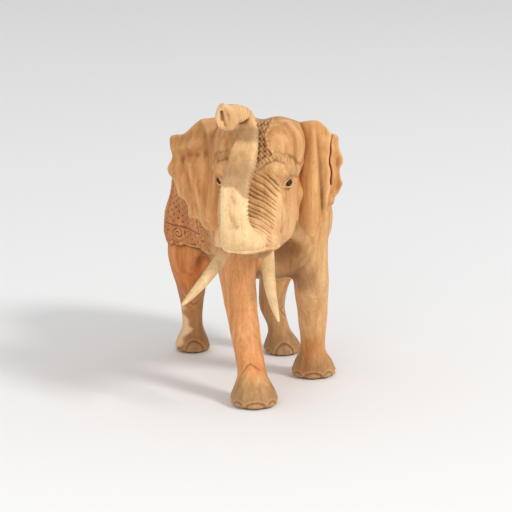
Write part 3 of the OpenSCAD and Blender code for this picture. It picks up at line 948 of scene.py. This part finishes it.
class Board:
    """A material's node tree, with short calls that add and link nodes."""

    def __init__(self, name):
        self.material = bpy.data.materials.new(name)
        self.material.use_nodes = True
        self.tree = self.material.node_tree
        self.tree.nodes.clear()

    def add(self, kind, sockets, **settings):
        """A node with its settings, and with sockets set to numbers or linked to sockets."""
        node = self.tree.nodes.new(kind)
        for key, value in settings.items():
            setattr(node, key, value)
        for key, value in sockets.items():
            if isinstance(value, bpy.types.NodeSocket):
                self.tree.links.new(value, node.inputs[key])
            else:
                node.inputs[key].default_value = value
        return node

    def noise(self, scale, stretched=(1, 1, 1), detail=3.0, roughness=0.5, distortion=0.0):
        """Noise in object coordinates scaled along each axis."""
        coords = self.add("ShaderNodeTexCoord", {}).outputs["Object"]
        at = self.add("ShaderNodeMapping", {"Scale": stretched, "Vector": coords}).outputs["Vector"]
        return self.add("ShaderNodeTexNoise", {
            "Vector": at, "Scale": scale, "Detail": detail, "Roughness": roughness,
            "Distortion": distortion,
        }).outputs["Fac"]

    def between(self, value, low, high, new_low=0.0, new_high=1.0):
        return self.add("ShaderNodeMapRange", {
            "Value": value, "From Min": low, "From Max": high, "To Min": new_low, "To Max": new_high,
        }).outputs["Result"]

    def maths(self, operation, a, b):
        return self.add("ShaderNodeMath", {0: a, 1: b}, operation=operation).outputs[0]

    def mix(self, share, a, b, blend="MIX"):
        sockets = {0: share, 6: a, 7: b}
        return self.add("ShaderNodeMix", sockets, data_type="RGBA", blend_type=blend).outputs[2]

    def stored(self, name):
        return self.add("ShaderNodeAttribute", {}, attribute_name=name).outputs["Fac"]

    def bump(self, height, distance, strength, before=None):
        sockets = {"Strength": strength, "Distance": distance, "Height": height}
        if before is not None:
            sockets["Normal"] = before
        return self.add("ShaderNodeBump", sockets).outputs["Normal"]

    def surfaced(self, sockets):
        """The finished material, its surface's sockets set or linked."""
        shader = self.add("ShaderNodeBsdfPrincipled", sockets)
        self.add("ShaderNodeOutputMaterial", {"Surface": shader.outputs["BSDF"]})
        return self.material


def srgb(r, g, b):
    """A colour from its display values, 0 to 255."""
    def linear(v):
        v /= 255
        return v / 12.92 if v <= 0.04045 else ((v + 0.055) / 1.055) ** 2.4
    return (linear(r), linear(g), linear(b), 1.0)


def wood(name, pale, deep, along=(1, 1, 0.09), gloss=0.55):
    """Hand-carved wood: growth streaks, pores and blotches, with painted shade in the hollows and a painted
    highlight on raised carving.

    pale and deep are the streaks' two colours; along shrinks the pattern along the grain.
    """
    b = Board(name)
    streaks = b.noise(95, along, detail=5, roughness=0.62, distortion=0.25)
    bands = b.noise(26, along, detail=2, roughness=0.5, distortion=0.6)
    blotches = b.noise(13, (1, 1, 0.45), detail=4, roughness=0.6)
    pores = b.noise(1100, tuple(a if a == 1 else a * 1.3 for a in along), detail=1, roughness=0.4)
    pits = b.noise(620, (1, 1, 0.5), detail=2, roughness=0.5)
    mixed = b.maths("ADD", b.between(streaks, 0.36, 0.66, 0, 0.62), b.between(bands, 0.36, 0.64, 0, 0.48))
    colour = b.mix(mixed, pale, deep)
    warm = b.mix(0.5, colour, srgb(226, 158, 88), "MULTIPLY")
    colour = b.mix(b.between(blotches, 0.42, 0.66, 0, 0.6), colour, warm)
    orange = b.mix(0.8, colour, srgb(255, 196, 138), "MULTIPLY")
    colour = b.mix(b.stored("orange"), colour, orange)
    # Paler sapwood, also used as painted light on the lit outer sides of the front legs and shoulders.
    colour = b.mix(b.stored("sapwood_and_painted_light"), colour, b.mix(mixed, srgb(250, 218, 168), srgb(228, 184, 128)))
    # Darker stain, also used as painted shade on the hind legs, belly, chest, jaw, upper right ear and
    # around the trunk's curl.
    colour = b.mix(b.stored("stain_and_painted_shade"), colour, b.mix(streaks, srgb(146, 106, 64), srgb(88, 58, 32)))
    pore_dark = b.between(pores, 0.60, 0.70, 0, 0.45)
    colour = b.mix(pore_dark, colour, srgb(120, 72, 38))
    spots = b.between(pits, 0.70, 0.78, 0, 0.5)
    colour = b.mix(spots, colour, srgb(110, 66, 34))
    # Painted shade: the deeper a point lies in a small hollow, the darker it is painted.
    hollow_shade = b.between(b.stored("hollow"), 0.05, 0.85, 0, 0.84)
    colour = b.mix(hollow_shade, colour, srgb(104, 60, 30))
    # Painted shade in large hollows and folds, from the stored fold depth.
    colour = b.mix(b.between(b.stored("fold"), 0.2, 2.8, 0, 0.72), colour, srgb(112, 66, 30))
    # Painted highlight: raised carving, which stands out of the hollow measure, is painted paler.
    proud_highlight = b.between(b.stored("hollow"), -0.9, -0.1, 0.16, 0)
    colour = b.mix(proud_highlight, colour, srgb(252, 214, 164))
    rough = b.between(streaks, 0.3, 0.7, gloss - 0.06, gloss + 0.12)
    rough = b.maths("ADD", rough, b.maths("MULTIPLY", hollow_shade, 0.2))
    normal = b.bump(streaks, 0.0006, 0.5)
    normal = b.bump(b.noise(210, (1, 1, 0.35), detail=3, roughness=0.6), 0.0007, 0.45, normal)
    normal = b.bump(pores, 0.0003, 0.55, normal)
    return b.surfaced(
        {"Base Color": colour, "Roughness": rough, "Specular IOR Level": 0.36, "Normal": normal}
    )


def dress(piece, material, name):
    """Puts the material on the piece and hangs it in the frame, in place of its CAD node."""
    piece.data.materials.clear()
    piece.data.materials.append(material)
    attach(piece, "root")
    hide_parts(name)


def glass_eye():
    """Near-black glass with a dark amber ring round the pupil."""
    b = Board("eye_glass")
    ring = b.between(b.stored("from_pupil"), 2.2, 3.0)
    colour = b.mix(ring, (0.003, 0.002, 0.002, 1), (0.035, 0.014, 0.005, 1))
    flecks = b.noise(2600, detail=2)
    colour = b.mix(b.between(flecks, 0.5, 0.7, 0, 0.5), colour, (0.012, 0.006, 0.003, 1))
    return b.surfaced(
        {"Base Color": colour, "Roughness": 0.12, "Specular IOR Level": 0.3, "Coat Weight": 0.15}
    )


# ---- build ----

def store_colour_and_light(piece, orange=0.0, sapwood_and_painted_light=0.0, stain_and_painted_shade=0.0):
    """Stores a piece's patches of colour, painted light and painted shade, each one number or one per
    vertex.
    """
    count = len(piece.data.vertices)
    for name, value in (("orange", orange), ("sapwood_and_painted_light", sapwood_and_painted_light), ("stain_and_painted_shade", stain_and_painted_shade)):
        paint(piece, name, np.zeros(count) + value)


def thigh_red(x, y, z):
    """How orange the wood is on the right hip and, less so, on the right shoulder."""
    thigh = ramp(-x, 60, 90) * ramp(y, 40, 90) * ramp(-z, -300, -235)
    shoulder = ramp(-x, 30, 50) * ramp(-y, 60, 100) * ramp(-z, -320, -240)
    return np.maximum(thigh, 0.75 * shoulder)


def painted_limb_light(x, y, z):
    """How much painted light pales the outer sides of the front legs, most on the left."""
    outer = 0.36 * ramp(x, 30, 55) + 0.16 * ramp(-x, 30, 55)
    fore = outer * ramp(-y, 20, 50)
    return fore * ramp(z, 60, 110) * (1 - ramp(z, 235, 280))


def finish_leg(name, material):
    piece = leg_piece(name)
    x, y, z = places(piece).T
    low = ramp(-z, -150, -96)
    # Darker towards the feet.
    stain_and_painted_shade = 0.55 * ramp(-z, -62, -22)
    # Painted light on the outer sides of the front legs.
    patch = painted_limb_light(x, y, z)
    # Painted shade: the hind legs, which the body shades, are darkened on their lower part.
    if name.startswith("leg_hind"):
        stain_and_painted_shade = 0.4 * low + 0.3 * ramp(-z, -60, -20)
    if name == "leg_hind_right":
        edge = np.interp(z, [12, 28, 46, 68, 88, 100], [116, 106, 92, 104, 109, 114])
        edge = edge + 2.5 * np.sin(z / 3.7)
        patch = 0.85 * ramp(-x - edge, -4, 4) * ramp(-z, -102, -88)
        stain_and_painted_shade = stain_and_painted_shade * (1 - patch)
    orange = thigh_red(x, y, z) * (1 - 0.7 * low) if name.endswith("right") else 0.0
    if name == "leg_front_right":
        orange = 0.75 * ramp(z, 36, 70)
    store_colour_and_light(piece, orange, patch, stain_and_painted_shade)
    dress(piece, material, name)


def finish_torso(material):
    piece = torso_piece()
    x, y, z = places(piece).T
    on_cloth = ramp(z, 222, 228) * ramp(y, -44, -38) * (1 - ramp(y, 148, 154))
    # Painted shade: the belly underneath and the chest between the front legs are darkened where they lie
    # in shade.
    belly = 0.45 * ramp(-z, -235, -190) * (1 - ramp(np.abs(x), 50, 84))
    chest = 0.5 * ramp(-z, -290, -240) * (1 - ramp(np.abs(x - 6), 26, 46))
    red = np.maximum(thigh_red(x, y, z), 0.8 * on_cloth)
    below = np.maximum(belly, chest) * ramp(z, 158, 180)
    store_colour_and_light(piece, red, painted_limb_light(x, y, z), np.maximum(0.16 * on_cloth, below))
    dress(piece, material, "torso")


def finish_head(material):
    piece = head_piece()
    x, y, z = HEAD.local(places(piece)).T
    above = z - rope_height(np.abs(x))
    lattice = ramp(lattice_width(z) - np.abs(x), -1, 2) * ramp(above, -5, 0)
    lattice = np.maximum(lattice, bell(above, 6)) * (1 - ramp(y, -6, 4))
    # Painted shade on the lower jaw, which lies in shade under the trunk's root.
    jaw_shade = ramp(-z, -288, -270)
    cheek = 0.2 * (1 - ramp(z, 330, 380))
    dome = 0.1 * ramp(z, 420, 440)
    store_colour_and_light(piece, 0.0, cheek, np.maximum(np.maximum(0.3 * lattice, dome), 0.35 * jaw_shade))
    dress(piece, material, "head")


def finish_trunk(material):
    piece = trunk_piece()
    x, y, z = HEAD.local(places(piece)).T
    root = ramp(y + 0.2 * x, -140, -108) * (1 - ramp(z, 330, 350))
    # Below this line the trunk's face is pale sapwood; above it lies the painted shadow that the curled tip
    # casts on the trunk.
    change = z + 0.5 * x + 4 * np.sin(x / 6)
    pale = (1 - ramp(change, 378, 386)) * (1 - 0.8 * root)
    painted_curl_shadow = ramp(change, 378, 386) * (1 - ramp(z, 410, 455))
    # Painted shade on the underside of the curl.
    curl_underside_shade = ramp(z, 452, 462) * (1 - ramp(z, 474, 486)) * ramp(-y, 76, 84)
    store_colour_and_light(piece, 0.0, 0.95 * pale, np.maximum(0.48 * painted_curl_shadow, 0.6 * curl_underside_shade))
    dress(piece, material, "trunk")


def finish_ears(material):
    for name, middle, thick in (("ear_right", ear_right_middle, 12), ("ear_left", ear_left_middle, 13)):
        piece = ear_piece(name, middle, thick)
        if name == "ear_right":
            # Painted shade darkens the upper part of the right ear.
            store_colour_and_light(piece, 0.12, 0, 0.24 * ramp(places(piece)[:, 2], 390, 440))
        else:
            store_colour_and_light(piece)
        dress(piece, material, name)


def build():
    body_wood = wood("body_wood", srgb(232, 184, 126), srgb(186, 128, 68))
    ear_wood = wood("ear_wood", srgb(230, 178, 116), srgb(178, 120, 60))
    trunk_wood = wood("trunk_wood", srgb(236, 196, 144), srgb(206, 158, 104))
    tusk_wood = wood("tusk_wood", srgb(232, 204, 156), srgb(198, 162, 110), gloss=0.42)
    dowel_wood = wood("dowel_wood", srgb(222, 184, 134), srgb(186, 142, 92))
    for leg in LEGS:
        finish_leg(leg, body_wood)
    finish_torso(body_wood)
    finish_head(body_wood)
    finish_trunk(trunk_wood)
    finish_ears(ear_wood)
    for name in TUSKS:
        piece = tusk_piece(name)
        store_colour_and_light(piece)
        dress(piece, tusk_wood, name)
    glass = glass_eye()
    for name, side in (("eye_right", -1), ("eye_left", 1)):
        dress(eye_piece(name, side), glass, name)
    for name in ("neck_dowels", "trunk_dowels", "ear_dowels", "leg_dowels"):
        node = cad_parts[name]
        node.data.materials.clear()
        node.data.materials.append(dowel_wood)


build()


# ---- stage: floor, backdrop, lights and camera ----


def add_floor():
    bpy.ops.mesh.primitive_plane_add(size=40, location=(0, 0, -0.0003))
    floor = bpy.context.object
    floor.name = "floor"
    white = Board("floor_white").surfaced({"Base Color": (0.86, 0.86, 0.86, 1), "Roughness": 0.7})
    floor.data.materials.append(white)


def add_sky():
    world = bpy.data.worlds.new("studio")
    bpy.context.scene.world = world
    world.use_nodes = True
    sky = world.node_tree.nodes["Background"]
    sky.inputs["Color"].default_value = (0.92, 0.92, 0.92, 1)
    sky.inputs["Strength"].default_value = 0.78


def add_light(name, at, target, size, power, colour=(1, 1, 1)):
    data = bpy.data.lights.new(name, "AREA")
    data.shape = "DISK"
    data.size = size
    data.energy = power
    data.color = colour
    lamp = in_scene(name, data)
    lamp.location = at
    lamp.rotation_euler = (Vector(target) - Vector(at)).to_track_quat("-Z", "Y").to_euler()


CAMERA_TURN = math.radians(15)  # round from the front to the object's right
CAMERA_DIP = math.radians(12)
CAMERA_AWAY, CAMERA_ASIDE, CAMERA_HEIGHT = 3053, 8, 858  # from the drawing frame's middle
CAMERA_REACH = 1750 / 512  # focal length in picture widths
SENSOR = 36


def add_camera():
    c, s = math.cos(CAMERA_TURN), math.sin(CAMERA_TURN)
    forward = Vector((s * math.cos(CAMERA_DIP), c * math.cos(CAMERA_DIP), -math.sin(CAMERA_DIP)))
    right = Vector((c, -s, 0))
    up = right.cross(forward)
    at = np.array([
        -CAMERA_ASIDE * c - CAMERA_AWAY * s, CAMERA_ASIDE * s - CAMERA_AWAY * c, CAMERA_HEIGHT,
    ])
    data = bpy.data.cameras.new("camera")
    data.sensor_width = SENSOR
    data.lens = SENSOR * CAMERA_REACH
    data.clip_start, data.clip_end = 0.1, 100
    camera = in_scene("camera", data)
    camera.matrix_world = Matrix.Translation(Vector((at + SHIFT) * MM)) @ Matrix(
        [[right[k], up[k], -forward[k]] for k in range(3)]
    ).to_4x4()
    bpy.context.scene.camera = camera


add_floor()
add_sky()
add_light("key", (5.6, -6.9, 7.4), (0, 0, 0.2), 2.6, 640, (1.0, 0.995, 0.985))
add_light("fill", (-1.6, -2.6, 1.2), (0, 0, 0.25), 1.6, 18)
add_camera()
bpy.context.scene.view_settings.view_transform = "Standard"
